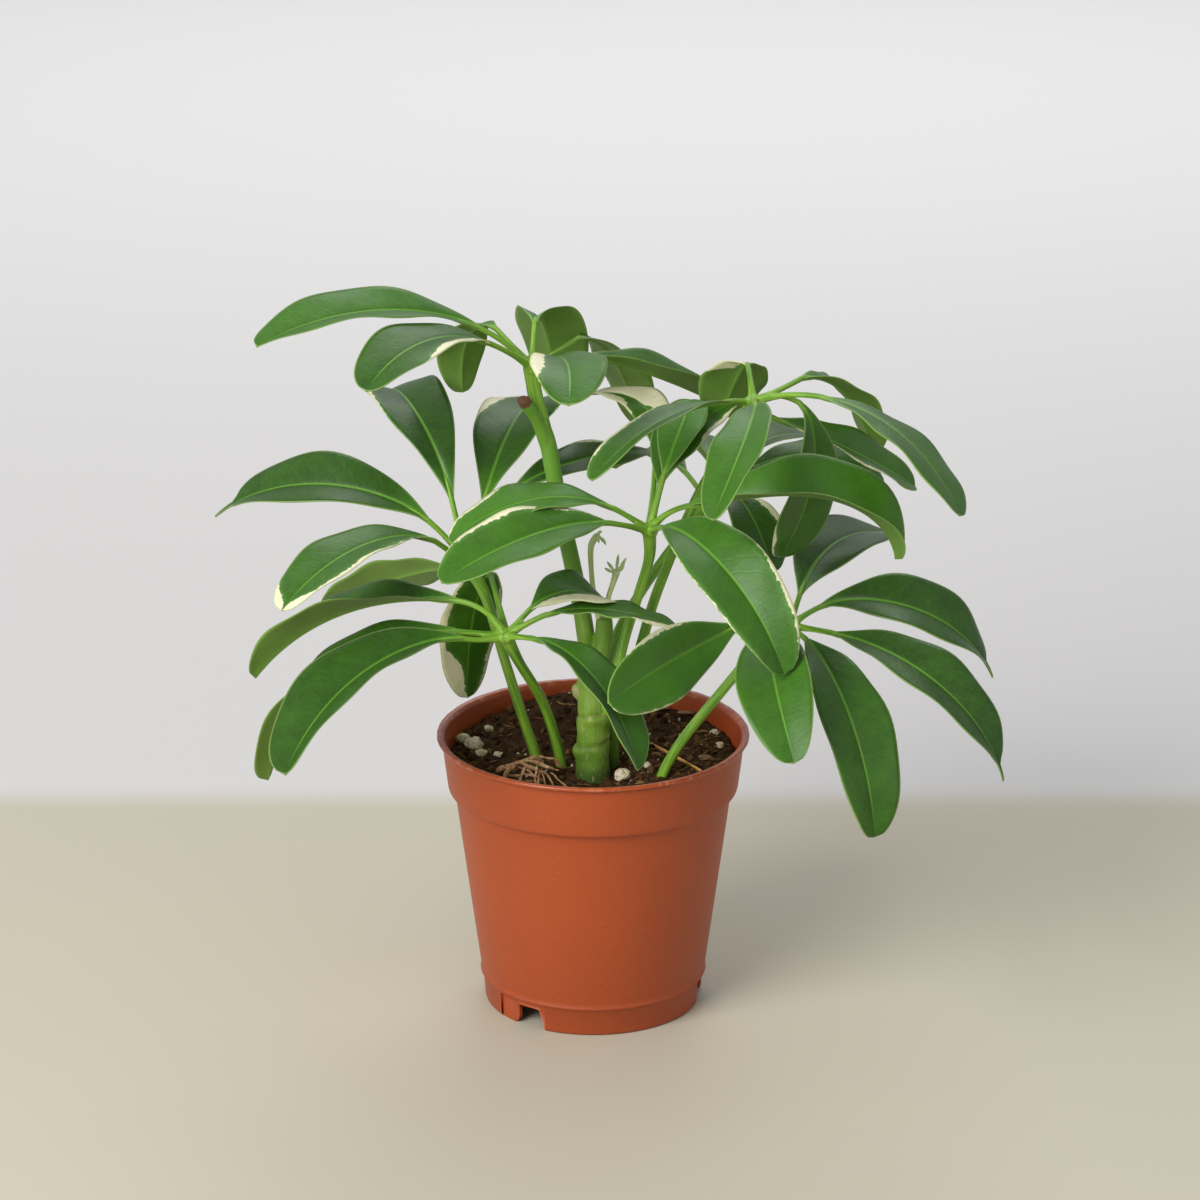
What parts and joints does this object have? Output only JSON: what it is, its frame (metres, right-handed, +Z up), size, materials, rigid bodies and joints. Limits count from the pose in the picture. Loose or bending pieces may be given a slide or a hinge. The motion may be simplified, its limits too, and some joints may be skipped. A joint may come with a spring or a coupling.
{
  "type": "potted umbrella plant",
  "caption": "Dwarf umbrella plant with variegated compound leaves on slender green stems, growing from dark potting soil in a round terracotta-coloured plastic nursery pot.",
  "frame": {"origin": "under the middle of the whole plant's bounding box, on the surface the pot stands on", "axes": "+Z up; -Y towards the side seen in the picture; +X to the right of that view"},
  "size_m": [0.254, 0.205, 0.2447],
  "materials": {
    "terracotta_plastic": "satin moulded plastic with a fine grain, terracotta orange-brown",
    "green_bark": "smooth green young bark, faintly streaked lengthways",
    "leaf_green": "waxy dark green upper face with cream patches, paler matt underside",
    "young_shoot": "soft light green",
    "peat": "dark brown crumbly potting peat, matt",
    "perlite": "white expanded perlite, rough",
    "wood_chip": "dry bark chips, matt",
    "straw": "dry straw, slightly shiny",
    "dry_leaf": "dried brown leaf, matt"
  },
  "bodies": {
    "root": {"pot": "terracotta_plastic", "trunk": "green_bark", "leaf_front_left": "leaf_green", "leaf_rear_left": "leaf_green", "leaf_centre": "leaf_green", "leaf_upper_right": "leaf_green", "leaf_crown": "leaf_green", "leaf_lower_right": "leaf_green", "leaf_rear": "leaf_green", "young_leaf_left": "young_shoot", "young_leaf_right": "young_shoot", "soil": "peat", "perlite_1": "perlite", "perlite_2": "perlite", "perlite_3": "perlite", "perlite_4": "perlite", "perlite_5": "perlite", "perlite_6": "perlite", "perlite_7": "perlite", "perlite_8": "perlite", "perlite_9": "perlite", "wood_chip_1": "wood_chip", "wood_chip_2": "wood_chip", "wood_chip_3": "wood_chip", "straw": "straw", "dry_leaf": "dry_leaf"}
  },
  "joints": []
}
